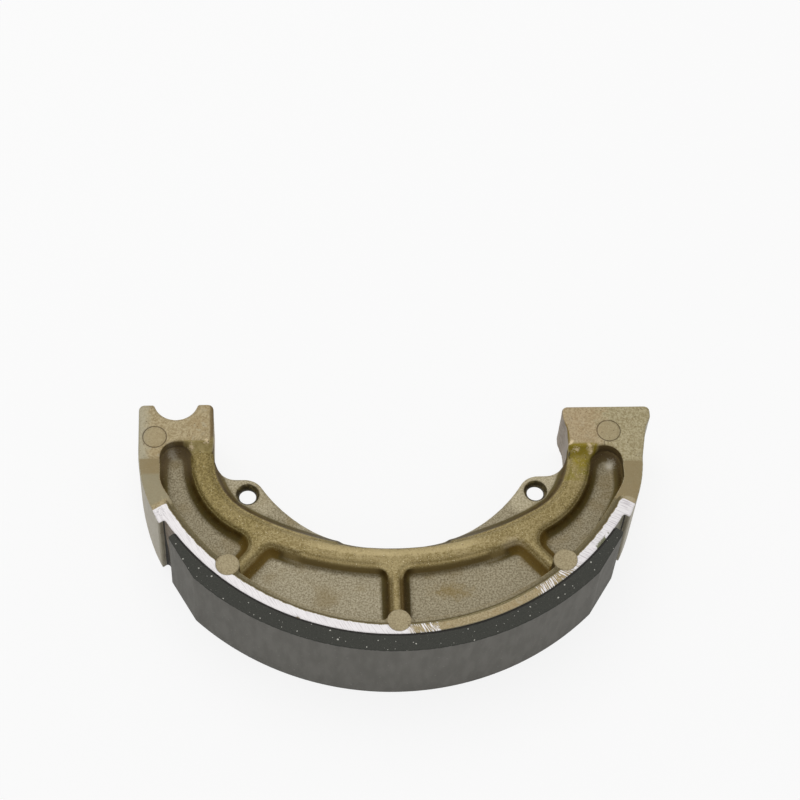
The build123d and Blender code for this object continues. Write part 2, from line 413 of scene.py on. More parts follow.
def add_corner(shape, side, face):
    """Fan that fills the pocket's inner corner and falls from the block to the bead."""
    arc = CORNER_ARCS[side]
    hub_x, hub_y = 56.3, BLOCK_EDGES[side] + 0.7
    bottom = FLOOR_LEVEL - 0.6
    hub_top = shape.verts.new(on_face(side, face, hub_x, hub_y, BLOCK_HALF - SUNK))
    hub_low = shape.verts.new(on_face(side, face, hub_x, hub_y, bottom))
    top, low = [], []
    for i, (x_mm, y_mm) in enumerate(arc):
        share = i / (len(arc) - 1)
        fall = (BLOCK_HALF - BEAD_HALF) * share
        top.append(shape.verts.new(on_face(side, face, x_mm, y_mm, BLOCK_HALF - SUNK - fall)))
        low.append(shape.verts.new(on_face(side, face, x_mm, y_mm, bottom)))
    for i in range(len(arc) - 1):
        shape.faces.new((hub_top, top[i], top[i + 1]))
        shape.faces.new((hub_low, low[i + 1], low[i]))
        shape.faces.new((top[i], low[i], low[i + 1], top[i + 1]))
    shape.faces.new((hub_top, hub_low, low[0], top[0]))
    shape.faces.new((hub_top, top[-1], low[-1], hub_low))


casting = copy_of_node("shoe_casting", "cast_body")
shape = bmesh.new()
shape.from_mesh(casting.data)
bmesh.ops.remove_doubles(shape, verts=shape.verts, dist=0.002 * MM)
for side in (-1, 1):
    for face in (-1, 1):
        add_rise(shape, side, face)
        add_corner(shape, side, face)
bmesh.ops.recalc_face_normals(shape, faces=shape.faces)
shape.to_mesh(casting.data)
shape.free()
applied(casting, "REMESH", mode="VOXEL", voxel_size=CAST_VOXEL * MM)
applied(casting, "SMOOTH", factor=0.5, iterations=2)
print("voxel mesh:", len(casting.data.vertices), "points")

# %% [markdown]
# The walls don't meet the floors in a sharp line. At the ribs, in the end pockets and beside
# the lugs they run out in a wide foot, while the bead's wall in the middle pockets is steep.
# Each floor point is lifted by its distance in plan from the nearest wall. A foot is given by
# its reach, its height and the power of its curve.

# %% Lift the feet of the walls
LUG_HOLE = (41.0, -25.72)
HOLE_CLEARANCE = 3.1
POCKET_RADII = (48, 72.3)
BEAD_SIDE_RADIUS = 53.2
END_POCKET_ANGLE = 36
RIB_ANGLE = 41
FEET = {
    "steep": (1.6, 3.4, 3.0),
    "rib": (2.7, 2.8, 1.0),
    "end": (2.9, 2.9, 1.4),
    "lug": (2.8, 3.1, 1.2),
}


def plan_distances(points, targets):
    """Distance in plan from each point to the nearest target point, in millimetres."""
    tree = KDTree(len(targets))
    for i, (x_mm, y_mm) in enumerate(targets[:, :2]):
        tree.insert((x_mm, y_mm, 0), i)
    tree.balance()
    return np.array([tree.find((x_mm, y_mm, 0))[2] for x_mm, y_mm in points[:, :2]])


def foot_height(distances, kind):
    """Height of a foot over the floor at these distances from its wall."""
    reach, height, power = FEET[kind]
    share = np.clip(distances / reach, 0, 1)
    if power > 2:
        return height * (1 - share ** power)
    return height * (1 - share) ** power


places = vertex_places(casting.data)
normals = np.zeros(places.size)
casting.data.vertices.foreach_get("normal", normals)
normals = normals.reshape(-1, 3)
levels = np.abs(places[:, 2] - MID_HEIGHT)
radii = np.hypot(places[:, 0], places[:, 1])
angles = np.abs(np.degrees(np.arctan2(places[:, 0], -places[:, 1])))
within = radii < POCKET_RADII[1]
walls = (np.abs(normals[:, 2]) < 0.4) & (levels > 3.6) & (levels < 4.8) & within
facing_hub = -(normals[:, 0] * places[:, 0] + normals[:, 1] * places[:, 1]) / radii
mid_bead = walls & (radii < BEAD_SIDE_RADIUS) & (angles < END_POCKET_ANGLE) & (facing_hub < 0)
floors = (levels > 1.9) & (levels < 5.5) & within
pockets = radii > POCKET_RADII[0]
lifts = np.zeros(len(places))
zones = (
    ("steep", mid_bead, pockets),
    ("rib", walls & ~mid_bead & (facing_hub < 0.3), pockets & (angles < RIB_ANGLE)),
    ("end", walls & (angles > END_POCKET_ANGLE), pockets & (angles >= RIB_ANGLE)),
    ("lug", walls & (facing_hub > 0.3) & (radii < 60), (radii < 58) & (angles > 20)),
)
for kind, sources, zone in zones:
    chosen = np.flatnonzero(floors & zone)
    lift = foot_height(plan_distances(places[chosen], places[sources]), kind)
    lifts[chosen] = np.maximum(lifts[chosen], lift)
from_hole = np.hypot(np.abs(places[:, 0]) - LUG_HOLE[0], places[:, 1] - LUG_HOLE[1])
lifts *= np.clip((from_hole - HOLE_CLEARANCE) / 0.8, 0, 1)
face_sign = np.sign(places[:, 2] - MID_HEIGHT)
raised = MID_HEIGHT + face_sign * np.maximum(levels, FLOOR_LEVEL + lifts)
places[:, 2] = np.where(floors & (lifts > 0), raised, places[:, 2])
print("lifted", int((lifts > 0.05).sum()), "points at the walls' feet")

# %% [markdown]
# Inside the machined edge the rim has a rounded lip, which stops short of the shoulders' ends
# and of the ejector pins' bosses. The two pins on the end blocks left only a shallow ring each.

# %% Round the rim's lip and sink the pin rings
LIP_RADIUS = 71.4
LIP_ROUND = 0.9
LIP_LEVEL = 13.4
LIP_END_ANGLE = 63
PIN_RADIUS = 3.35
PIN_RINGS = ((-67.2, -10.4), (62.4, -10.1))
RING_DEPTH = 0.22
RING_HALF_WIDTH = 0.4
PAD_REACH = 3.5
PADS = [on_arc(70.8, degrees) for degrees in (-41.1, 0, 41.1)]

lip = np.clip((LIP_RADIUS + LIP_ROUND - radii) / LIP_ROUND, 0, 1)
drop = LIP_ROUND * (1 - np.sqrt(1 - lip ** 2)) * np.clip(levels - LIP_LEVEL, 0, 1)
drop *= np.clip((LIP_END_ANGLE - angles) / 3, 0, 1)
for pad_place in PADS:
    away = np.hypot(places[:, 0] - pad_place.x, places[:, 1] - pad_place.y)
    drop *= np.where(places[:, 2] > MID_HEIGHT, np.clip((away - PAD_REACH) / 0.5, 0, 1), 1)
for ring_x, ring_y in PIN_RINGS:
    away = np.abs(np.hypot(places[:, 0] - ring_x, places[:, 1] - ring_y) - PIN_RADIUS)
    on_block = (places[:, 2] > MID_HEIGHT) & (levels > 8.3) & (levels < 9.2)
    drop += RING_DEPTH * np.clip(1 - away / RING_HALF_WIDTH, 0, 1) * on_block
places[:, 2] -= drop * np.sign(places[:, 2] - MID_HEIGHT)
set_places(casting.data, places)
print("deepest drop at the lip:", round(float(drop.max()), 2), "mm")

# %% [markdown]
# Smoothing then rounds every edge a little. It is stronger on the web, bead and ribs, and
# strongest where the bead rises to a block. Two nicks go into the machined edge afterwards,
# so that smoothing doesn't close them, and the mesh is thinned to a size that travels well.

# %% Smooth, nick and thin the mesh
CAST_TRIANGLES = 190000
NICK_BOTTOM = 27.5
NICKS = ((on_arc(75.1, -21.6), 0.7, 0.5), (on_arc(74.9, 50.0), 1.0, 0.5))


def smooth_where(piece, name, chosen, rounds):
    """Smooths the chosen vertices for a number of rounds."""
    group = piece.vertex_groups.new(name=name)
    group.add(np.flatnonzero(chosen).tolist(), 1.0, "REPLACE")
    applied(piece, "SMOOTH", factor=0.5, iterations=rounds, vertex_group=name)
    piece.vertex_groups.clear()


smooth_where(casting, "web_bead_and_ribs", levels < 6.6, 14)
smooth_where(casting, "pocket_feet", (levels > 1.7) & (levels < 5.0), 6)
rises = (np.abs(places[:, 0]) < 62) & (places[:, 1] > -19.5) & (places[:, 1] < -10)
rises &= (levels > 3.0) & (levels < 9.3)
smooth_where(casting, "bead_rises", rises, 22)
places = vertex_places(casting.data)
for centre, reach, depth in NICKS:
    away = np.hypot(places[:, 0] - centre.x, places[:, 1] - centre.y)
    near_top = np.clip(places[:, 2] - NICK_BOTTOM, 0, 1)
    places[:, 2] -= depth * near_top * np.exp(-((away / reach) ** 2))
set_places(casting.data, places)
share = CAST_TRIANGLES / (2 * len(casting.data.polygons))
applied(casting, "DECIMATE", decimate_type="COLLAPSE", ratio=share)
keep_in_box(casting)
casting.data.shade_smooth()
applied(casting, "WEIGHTED_NORMAL", keep_sharp=True)
print("cast body:", len(casting.data.polygons), "triangles")

# %% [markdown]
# ## The casting's finish
# The skin is die-cast aluminium under a tan conversion coat. Faces that the tool drew out are
# flat and tan, pocket walls are dark, and the rim's side faces are cut bright on a lathe. A
# picture could be wrapped round the mesh, but sums on the place and the normal need no
# unwrapping, hold at any distance and use the drawing's own sizes.
#
# Three measures do most of the work. The level counts millimetres from the middle plane: 2 on
# the web, 5.75 on the bead, 8.75 on the end blocks and 14.5 on the machined edge. The radius
# counts from the drum's axis: 44 at the bead, 72.35 where the cut edge starts, 75.1 under the
# lining. The angle counts degrees from the middle of the arc: 41 at the outer ribs, 54.5 at the
# lining's end and 58.2 at the shoulder's end.

# %% Places and directions on the casting
cast = Finish("cast_aluminium_skin")
where, x, y, z = place(cast)
normal = cast.node("ShaderNodeNewGeometry", {}, {}, "Normal")
nx, ny, nz = [cast.node("ShaderNodeSeparateXYZ", {}, {0: normal}, axis) for axis in "XYZ"]


def plan_length(off_x, off_y):
    """Length of an offset in plan."""
    return (off_x * off_x + off_y * off_y).math("SQRT")


def away_from(spot_x, spot_y):
    """Distance in plan from one spot, in millimetres."""
    return plan_length(x - spot_x, y - spot_y)


radius = plan_length(x, y)
angle = x.math("ARCTAN2", 0 - y).math("DEGREES")
turned_by = angle.math("ABSOLUTE")
level = (z - MID_HEIGHT).math("ABSOLUTE")
across = x.math("ABSOLUTE")
flat = nz.math("ABSOLUTE")
steep = 1 - flat.rise(0.35, 0.7)
inward = 0 - (nx * x + ny * y) / radius
outward = 0 - inward
upper = z.rise(14, 15)
cam_half = x.rise(-1, 1)
hole_away = plan_length(across - LUG_HOLE[0], y - LUG_HOLE[1])
print("the casting's measures take", len(cast.tree.nodes), "nodes")

# %% [markdown]
# Each kind of face gets a mask, a number that is 1 on it and 0 elsewhere. A mask multiplies
# ranges of level, radius or angle with the way the surface faces, and its edges are soft, so
# that tones run into each other as they do on cast skin.

# %% Where each face of the casting is
CUT_EDGE_RADIUS = 72.35
POCKET_END_X = 66.8
POCKET_END_Y = -11.1
RISE_ZONE_X = (50.0, 58.5)
RISE_ZONE_Y = (-19.5, -11)
RAMP_LEVELS = (9.2, 14.0)
RAMP_START_ANGLE = 60.5

within_rim = 1 - radius.rise(CUT_EDGE_RADIUS - 0.15, CUT_EDGE_RADIUS + 0.15)
before_side = 1 - across.rise(POCKET_END_X - 0.2, POCKET_END_X + 0.2)
before_block = 1 - y.rise(POCKET_END_Y - 0.3, POCKET_END_Y + 0.3)
inside = within_rim * before_side * before_block
below_bead_top = 1 - level.rise(6.0, 6.6)
hub_side = inward.rise(0.2, 0.5) * (1 - radius.rise(60, 61))
high_wall = steep * level.rise(5.6, 6.4) * (1 - level.rise(13.9, 14.4)) * inside * (1 - hub_side)
slope = level.rise(2.15, 2.75) * below_bead_top * inside
crest = level.rise(4.1, 4.9) * (1 - level.rise(8.3, 8.7)) * flat.rise(0.5, 0.82) * inside
rise_zone = across.between(*RISE_ZONE_X, 1.0) * y.between(*RISE_ZONE_Y, 1.0) * level.rise(5.3, 6.0)
past_shoulder = turned_by.rise(RAMP_START_ANGLE, RAMP_START_ANGLE + 1)
ramp = level.between(*RAMP_LEVELS, 0.2) * past_shoulder * flat.rise(0.8, 0.9)
outer_wall = steep * outward.rise(0.3, 0.6) * radius.rise(70.5, 71.5)
end_face = steep * ny.rise(0.5, 0.8) * y.rise(-6, -5)
cut_side = level.rise(14.1, 14.3)
print("masks of the faces bring it to", len(cast.tree.nodes), "nodes")

# %% [markdown]
# Sand-fine grain, soft blotches of a few millimetres and the lathe's strokes are noise at
# different sizes. The strokes are noise drawn out along one direction: the tool left them
# leaning one way over most of the rim and another way near the cam end.

# %% Grain of the skin and strokes of the cutter
STROKE_TURNS = (-60, -27)
STROKE_LENGTH = 4
STROKE_WIDTH = 0.3
fine = grain(cast, where, 0.5, 3.0, 0.6)
specks = grain(cast, where, 0.55, 1.0)
glitter = grain(cast, where, 0.3, 1.0)
medium = grain(cast, where, 1.6, 2.0)
broad = grain(cast, where, 9.0, 2.0)
fine_swing = fine - 0.5
medium_swing = medium - 0.5
ragged = medium_swing * 0.7 + fine_swing * 0.4


def cutter_strokes(turn_degrees):
    """Noise drawn out along one direction in plan."""
    turned = math.radians(turn_degrees)
    along = x * math.cos(turned) + y * math.sin(turned)
    aside = y * math.cos(turned) - x * math.sin(turned)
    drawn = cast.node("ShaderNodeCombineXYZ", {}, {0: along / STROKE_LENGTH, 1: aside / STROKE_WIDTH})
    return cast.node("ShaderNodeTexNoise", {}, {"Vector": drawn, "Scale": 1.0, "Detail": 2.0}, "Fac")


most_strokes, cam_strokes = [cutter_strokes(turn_degrees) for turn_degrees in STROKE_TURNS]
strokes = most_strokes + (cam_strokes - most_strokes) * x.rise(43, 46)
print("five grains and", len(STROKE_TURNS), "directions of strokes")

# %% [markdown]
# ## Laying one tone over another
# The colour is built as a painter would: a ground tone first, then thin coats over it, each
# with a mask that says where it goes. Tones are screen colours with red, green and blue up to
# 255, and most swing between a dark and a light one with the grain.


# %% Tones and coats
def mottled(finish, wire, dark, light, low=0.36, high=0.64):
    """Colour that swings between a dark and a light tone with a grain."""
    return blend(finish, wire.rise(low, high), linear(*dark), linear(*light))


def coated(under, factor, tone):
    """A coat over the casting's colour where the factor is 1, in a screen colour or a wire."""
    coat = tone if isinstance(tone, Wire) else linear(*tone)
    return blend(cast, factor, under, coat)


# %% [markdown]
# The blocks at both ends keep the plain sand-fine skin. Its tan is a little greener at the
# outer side of the cam end and pinker at its inner side, and the anchor end is rubbed pale
# along its outer edge. The two ejector pins left smooth discs with a dark outline.

# %% Flat skin of the end blocks
ANCHOR_INNER_EDGE_X = -51.55
colour = mottled(cast, fine, (150, 133, 97), (180, 165, 131))
colour = coated(colour, broad.rise(0.42, 0.66) * 0.5, (158, 136, 96))
colour = coated(colour, (medium * broad).rise(0.28, 0.36) * 0.35, (186, 180, 156))
cam_block = cam_half * y.rise(-30, -28)
tinge = (x + medium_swing * 12).rise(56, 64)
greenish = mottled(cast, fine, (142, 134, 98), (178, 172, 140))
pinkish = mottled(cast, fine, (160, 138, 104), (186, 166, 134))
colour = coated(colour, cam_block * tinge * 0.5, greenish)
colour = coated(colour, cam_block * (1 - tinge) * 0.5, pinkish)
colour = coated(colour, medium.rise(0.6, 0.72) * 0.3, (132, 112, 76))
worn_side = (across + medium_swing * 4).rise(67.5, 71.0) * (1 - cam_half)
colour = coated(colour, worn_side * 0.6, (172, 168, 148))
print("end blocks:", len(cast.tree.nodes), "nodes")

# %% Pin discs and the anchor end's dark inner edge
ring_inside = 0
ring_line = 0
for ring_x, ring_y in PIN_RINGS:
    ring_away = away_from(ring_x, ring_y)
    ring_inside = (1 - ring_away.rise(3.0, 3.2)) + ring_inside
    ring_line = ring_away.between(PIN_RADIUS - 0.1, PIN_RADIUS + 0.1, 0.15) + ring_line
colour = coated(colour, ring_inside * upper * 0.6, (160, 145, 111))
past_inner_edge = (x + ragged).rise(ANCHOR_INNER_EDGE_X - 0.35, ANCHOR_INNER_EDGE_X + 0.35)
inner_edge = past_inner_edge * (1 - cam_half) * level.between(7.5, 9.0, 1.0)
colour = coated(colour, inner_edge * 0.75, (98, 78, 40))
print("pin discs:", len(cast.tree.nodes), "nodes")

# %% [markdown]
# The heels' outer walls are smooth and light grey, because they slid along the mould, while the
# end faces are stained brown. The ramps above the heels are drawn smooth too, in one even tan.

# %% Outer walls, end faces and heel ramps
wall_skin = mottled(cast, medium, (170, 163, 146), (180, 174, 158), 0.25, 0.75)
end_skin = mottled(cast, medium, (109, 87, 55), (119, 97, 63), 0.25, 0.75)
colour = coated(colour, outer_wall, wall_skin)
colour = coated(colour, end_face, end_skin)
upper_ramp = level.rise(11.0, 11.5) * (1 - cam_half)
ramp_tone = blend(cast, upper_ramp, linear(144, 128, 92), linear(150, 141, 114))
colour = coated(colour, ramp * 0.85, ramp_tone)
print("walls and ramps:", len(cast.tree.nodes), "nodes")

# %% [markdown]
# The pockets have the same skin, but oil and dust settled on their floors. The floors near the
# lugs are paler, one smear of oil lies beside the middle rib, and a dark line follows the rim.

# %% Pocket floors
SMEAR_PLACE = (15.6, -57.0)
SMEAR_SQUASH = 0.42
floor_tone = mottled(cast, fine, (127, 116, 89), (171, 161, 135))
lug_floor = (1 - hole_away.rise(7.0, 10.0)) * (0.4 + cam_half * 0.35)
floor_tone = coated(floor_tone, lug_floor, mottled(cast, fine, (168, 157, 128), (200, 189, 160)))
paler_floor = (1 - turned_by.rise(34, 40)) * (1 - cam_half * 0.7) * 0.3
floor_tone = coated(floor_tone, paler_floor, mottled(cast, fine, (166, 155, 128), (208, 199, 174)))
floor_tone = coated(floor_tone, broad.rise(0.5, 0.72) * 0.5, (132, 114, 72))
rim_foot = (radius + ragged).rise(66.5, 70.5) * turned_by.rise(28, 40)
floor_tone = coated(floor_tone, rim_foot * 0.6, (100, 92, 60))
smear = plan_length((x - SMEAR_PLACE[0]) * SMEAR_SQUASH, y - SMEAR_PLACE[1])
stain = (1 - (smear + medium_swing * 4).rise(0.4, 3.4)) * 0.6
floor_tone = coated(floor_tone, stain, (130, 108, 50))
colour = coated(colour, inside * below_bead_top, floor_tone)
print("pocket floors:", len(cast.tree.nodes), "nodes")

# %% [markdown]
# Dirt and painted shade make the sloping walls the darkest part of the pockets, darker up each
# slope towards its wall, with a golden stain on the outer ribs. The long wall of the bead in the
# two middle pockets is painted lighter, as painted light where the lamp leaves it in shade.

# %% Sloping feet of ribs and bead
OUTER_RIB_ANGLES = (36, 46)
OUTER_RIB_RADII = (56, 69)
MID_RIB_FOOT_X = (2.6, 5.5)
MID_RIB_RADII = (55, 69)
MID_WALL_RADII = (48.6, 54.6)
# Dirt with painted shade: the slopes darken upwards, towards their walls.
slope_dirt_and_shade = blend(cast, level.rise(2.5, 4.2), linear(98, 86, 46), linear(66, 48, 4))
slope_dirt_and_shade = coated(slope_dirt_and_shade, medium.rise(0.4, 0.7) * 0.3, (110, 88, 32))
slope_dirt_and_shade = coated(slope_dirt_and_shade, (1 - radius.rise(49, 50)) * 0.6, (78, 67, 34))
gold_rib = turned_by.between(*OUTER_RIB_ANGLES, 1.5) * radius.between(*OUTER_RIB_RADII, 2) * 0.55
slope_dirt_and_shade = coated(slope_dirt_and_shade, gold_rib, (122, 96, 34))
rib_foot = across.between(*MID_RIB_FOOT_X, 0.8) * radius.between(*MID_RIB_RADII, 2)
slope_dirt_and_shade = coated(slope_dirt_and_shade, rib_foot * (x.rise(0, 1) * 0.4 + 0.3), (50, 38, 2))
mid_wall = radius.between(*MID_WALL_RADII, 2.0)
mid_wall = mid_wall * (1 - turned_by.rise(33, 36)) * turned_by.rise(3.5, 6.5)
# Painted light: the bead's long wall in the middle pockets is lightened where the lamp leaves it in
# shade.
slope_dirt_and_shade = coated(slope_dirt_and_shade, mid_wall * 0.75, (142, 124, 78))
near_block = y.rise(-25, -16) * radius.rise(56, 58) * (0.75 - cam_half * 0.3)
slope_dirt_and_shade = coated(slope_dirt_and_shade, near_block, (122, 106, 78))
mid_wall_foot = mid_wall * (1 - level.rise(2.9, 3.7)) * 0.85
colour = coated(colour, slope * (1 - mid_wall_foot), slope_dirt_and_shade)
print("sloping feet:", len(cast.tree.nodes), "nodes")

# %% [markdown]
# The bead and the ribs stand proud, so hands and cloths have rubbed them. Along its middle the
# bead has a pale strip near the hub, which is a painted highlight, turns darker towards the
# pockets with painted shade, and keeps a dark line at its edge. Its distance from the edge is
# measured from the centre of its own long arc.

# %% Skin of bead and ribs
RIGHT_FLANK_X = (1.3, 2.6)
LEFT_FLANK_X = (-2.8, -1.8)
crest_tone = mottled(cast, fine, (124, 107, 62), (162, 146, 102))
crest_tone = coated(crest_tone, medium.rise(0.5, 0.7) * 0.3, (112, 97, 46))
crest_tone = coated(crest_tone, (1 - broad.rise(0.38, 0.5)) * 0.3, (170, 154, 112))
tarnished = (across + (broad - 0.5) * 16).rise(30, 50) * (0.8 - cam_half * 0.5)
crest_tone = coated(crest_tone, tarnished, mottled(cast, fine, (102, 87, 36), (140, 124, 72)))
rib_flank = x.between(*RIGHT_FLANK_X, 0.8) + x.between(*LEFT_FLANK_X, 0.7) * 0.6
rib_flank = rib_flank * radius.between(55.5, 68.5, 3.0) * (1 - turned_by.rise(5, 6)) * 0.8
crest_tone = coated(crest_tone, rib_flank, (98, 77, 28))
print("bead and ribs:", len(cast.tree.nodes), "nodes")

# %% Painted highlight strip and painted shade along the bead
BEAD_ARC_CENTRE_Y = 35.1
BEAD_ARC_RADIUS = 79.5
RUBBED_JUNCTION = (33.6, -45.4)
across_bead = away_from(0, BEAD_ARC_CENTRE_Y) - BEAD_ARC_RADIUS + medium_swing * 1.2
mid_run = (1 - turned_by.rise(24, 34)) * (1 - across_bead.rise(7, 8))
# Painted highlight: a pale strip along the bead's top near the hub.
painted_sheen = across_bead.between(1.2, 2.7, 0.8) * mid_run * 0.55
crest_tone = coated(crest_tone, painted_sheen, (190, 172, 126))
# Painted shade: the bead darkens towards the pockets, down its rounded flank.
painted_shade_side = across_bead.rise(3.4, 6.0) * mid_run * across.rise(3.5, 6) * 0.5
crest_tone = coated(crest_tone, painted_shade_side, (104, 87, 40))
rubbed = (1 - (away_from(*RUBBED_JUNCTION) + medium_swing * 4).rise(0.5, 4.5)) * 0.55
crest_tone = coated(crest_tone, rubbed, (186, 170, 138))
dark_line = (1 - across_bead.rise(0.2, 1.1)) * mid_run * 0.6
crest_tone = coated(crest_tone, dark_line, (104, 94, 62))
colour = coated(colour, crest, crest_tone)
print("along the bead:", len(cast.tree.nodes), "nodes")

# %% [markdown]
# The high walls of the end pockets are dark brown, dirt with painted shade, and grow paler
# towards the blocks.
# Two painted highlights lie on them. The bead's rises are lighter than the bead itself.

# %% Walls of the end pockets, the rises and the lug holes
HIGHLIGHT_SPOTS = ((-62.3, -13.5), (62.8, -18.1))
# Dark brown of the end pockets' high walls: dirt with painted shade.
wall_dirt_and_shade = mottled(cast, medium, (66, 51, 14), (90, 75, 34))
wall_dirt_and_shade = coated(wall_dirt_and_shade, y.rise(-22, -14) * (0.8 - cam_half * 0.25), (130, 112, 76))
colour = coated(colour, high_wall * (1 - rise_zone), wall_dirt_and_shade)
# Two painted highlights: pale spots in the end pockets.
for spot_x, spot_y in HIGHLIGHT_SPOTS:
    spot = 1 - (away_from(spot_x, spot_y) + fine_swing * 3).rise(0.1, 2.0)
    colour = coated(colour, spot * inside * (0.45 + cam_half * 0.35), (210, 203, 186))
# Painted light: the rises are lightened because their slopes face away from the lamp.
rise_tone = mottled(cast, medium, (152, 136, 84), (178, 162, 110))
colour = coated(colour, rise_zone * (1 - flat.rise(0.8, 0.97)) * 0.85, rise_tone)
countersink = (1 - hole_away.rise(3.2, 3.5)) * (1 - level.rise(2.6, 3.0))
colour = coated(colour, countersink, mottled(cast, medium, (60, 51, 26), (110, 98, 60), 0.45, 0.7))
print("end pocket walls:", len(cast.tree.nodes), "nodes")

# %% [markdown]
# The cam end's neck has more colour than the rest: its inner wall is greyish pink, and an olive
# stain runs from the block's edge down the bead's rise. Small painted highlights lie on the rises
# of both ends.

# %% Olive stain at the cam end's neck
NECK_X = (49.5, 58.0)
NECK_Y = (-24, -14.6)
BLOCK_EDGE_X = (48, 52)
BLOCK_EDGE_Y = (-14.5, -8)
cam_wall = steep * x.rise(48, 49) * (1 - x.rise(52, 53)) * y.rise(-14.8, -14.2)
colour = coated(colour, cam_wall, mottled(cast, medium, (140, 128, 114), (160, 148, 134)))
olive_edge = flat.rise(0.1, 0.3) * (1 - flat.rise(0.75, 0.98))
olive_edge = olive_edge * x.between(*BLOCK_EDGE_X, 0.5) * y.between(*BLOCK_EDGE_Y, 1.5)
olive_edge = olive_edge * level.between(7, 9, 1)
colour = coated(colour, olive_edge * 0.75, (120, 100, 24))
olive = (1 - cam_wall) * level.rise(4.5, 5.5) * x.between(*NECK_X, 1.5) * y.between(*NECK_Y, 1.0)
colour = coated(colour, olive * (medium.rise(0.35, 0.6) * 0.5 + 0.2), (124, 112, 20))
colour = coated(colour, olive * rise_zone * (medium.rise(0.4, 0.6) * 0.4 + 0.35), (138, 120, 10))
print("olive stain:", len(cast.tree.nodes), "nodes")

# %% Glints on the bead's rises
RISE_GLINTS = (
    (-56.9, -12.9, 0.9),
    (-52.4, -11.9, 0.7),
    (52.8, -15.5, 1.1),
    (56.9, -15.2, 1.4),
    (51.4, -13.9, 0.8),
)
# Painted highlights: small pale glints on the rises.
for glint_x, glint_y, glint_size in RISE_GLINTS:
    from_glint = away_from(glint_x, glint_y) + fine_swing * 3 + medium_swing * 2
    glint = 1 - from_glint.rise(0.1, glint_size)
    colour = coated(colour, glint * level.rise(4.5, 5.5) * 0.8, (226, 206, 168))
print(len(RISE_GLINTS), "glints:", len(cast.tree.nodes), "nodes")

# %% [markdown]
# Between the lining's end and the shoulder a strip of the casting's outer arc lies open. It is
# greyish brown, and a painted shadow fills the corner under the shoulder, widening downwards.

# %% Seat beyond the lining and shoulder ends
SHADOW_WIDENING = 1.3
SHOULDER_END_ANGLES = (56.6, 58.9)
seat = outward.rise(0.2, 0.5) * (1 - radius.rise(75.25, 75.4)) * radius.rise(74.7, 74.9)
seat = seat * (1 - turned_by.rise(58.9, 59.2))
colour = coated(colour, seat, mottled(cast, medium, (122, 109, 96), (142, 130, 114)))
colour = coated(colour, seat * cam_half * 0.5, (112, 116, 92))
shoulder_end = steep * turned_by.between(*SHOULDER_END_ANGLES, 0.3) * radius.rise(75.2, 75.4)
colour = coated(colour, shoulder_end, (152, 145, 126))
# Painted shadow in the corner under the shoulder, wider towards the bottom.
depth_down = 1 - z.rise(0, 26)
shoulder_shadow = shoulder_end * (1 - radius.rise(75.6, 75.8))
shoulder_shadow = shoulder_shadow + seat * (turned_by + depth_down * SHADOW_WIDENING).rise(58.1, 58.4) * 0.9
colour = coated(colour, shoulder_shadow.math("MINIMUM", 1), (20, 15, 4))
print("seat and shoulders:", len(cast.tree.nodes), "nodes")

# %% Two small dark marks at the cam end
SLIT_X = (47.5, 52.5)
SLIT_Y = (-16.6, -16.0)
SLIT_Z = (16.0, 21.5)
PIT_PLACE = (59.0, -35.7)
slit = steep * x.between(*SLIT_X, 0.3) * y.between(*SLIT_Y, 0.25) * z.between(*SLIT_Z, 0.5)
colour = coated(colour, slit * 0.85, (70, 60, 50))
pocket_pit = 1 - away_from(*PIT_PLACE).rise(0.35, 0.6)
colour = coated(colour, pocket_pit * inside * 0.8, (40, 32, 14))
print("two flaws:", len(cast.tree.nodes), "nodes")

# %% [markdown]
# The rim's side face was cut bright after casting, in one pass that missed a low stretch beside
# the middle boss, where the tan skin is left between torn strokes. The bright band ends in a
# rounded corner on each shoulder, and a thin line of glue covers its outer edge.

# %% Bright band of the machined edge
BAND_END_ANGLE = 61.5
MM_PER_DEGREE = 1.27
UNCUT_ANGLES = (8.4, 31.0)
HALF_CUT_ANGLES = (3.5, 40.5)
corner = 0.3 + cam_half * 0.7
past_end = ((turned_by + ragged * 0.6 - BAND_END_ANGLE) * MM_PER_DEGREE + corner).math("MAXIMUM", 0)
past_edge = (CUT_EDGE_RADIUS + corner - radius - ragged).math("MAXIMUM", 0)
past_both = plan_length(past_end, past_edge) - corner
glue = radius.rise(74.9, 75.05) * (1 - turned_by.rise(54, 54.3)) * level.rise(13.5, 14)
band = cut_side * (1 - past_both.rise(-0.1, 0.1)) * (1 - glue)
torn_angle = angle + medium_swing * 3
uncut = torn_angle.between(*UNCUT_ANGLES, 0.5) * upper
half_cut = torn_angle.between(*HALF_CUT_ANGLES, 2.5) * upper
print("bright band:", len(cast.tree.nodes), "nodes")

# %% Bosses that stand in the band
pad_away = 99
for pad_place in PADS:
    pad_away = away_from(pad_place.x, pad_place.y).math("MINIMUM", pad_away)
on_pad = (1 - pad_away.rise(3.25, 3.4)) * upper * level.rise(13.4, 13.8)
colour = coated(colour, on_pad * 0.9, mottled(cast, fine, (148, 135, 104), (172, 159, 127)))
bare = band * (1 - on_pad) * (1 - uncut) * (1 - half_cut * (1 - strokes.rise(0.5, 0.56)))
print("bosses:", len(cast.tree.nodes), "nodes")

# %% [markdown]
# The cut metal is nearly white and shows the lathe's strokes, greyer towards the cam end. The
# rounded lip inside it carries the floor's tone, darkened, and a thin light line parts the two.

# %% Tone of the cut metal
SCUFF_PLACE = (-65.2, -37.2)
cut_tone = mottled(cast, strokes, (230, 225, 226), (251, 247, 247), 0.3, 0.55)
scuff = (1 - away_from(*SCUFF_PLACE).rise(0.5, 2.2)) * fine.rise(0.45, 0.6)
cut_tone = coated(cut_tone, scuff * 0.6, (170, 166, 168))
far_cut = mottled(cast, strokes, (196, 189, 192), (240, 236, 236), 0.36, 0.52)
cut_tone = coated(cut_tone, x.rise(30, 50) * 0.55, far_cut)
print("cut metal:", len(cast.tree.nodes), "nodes")

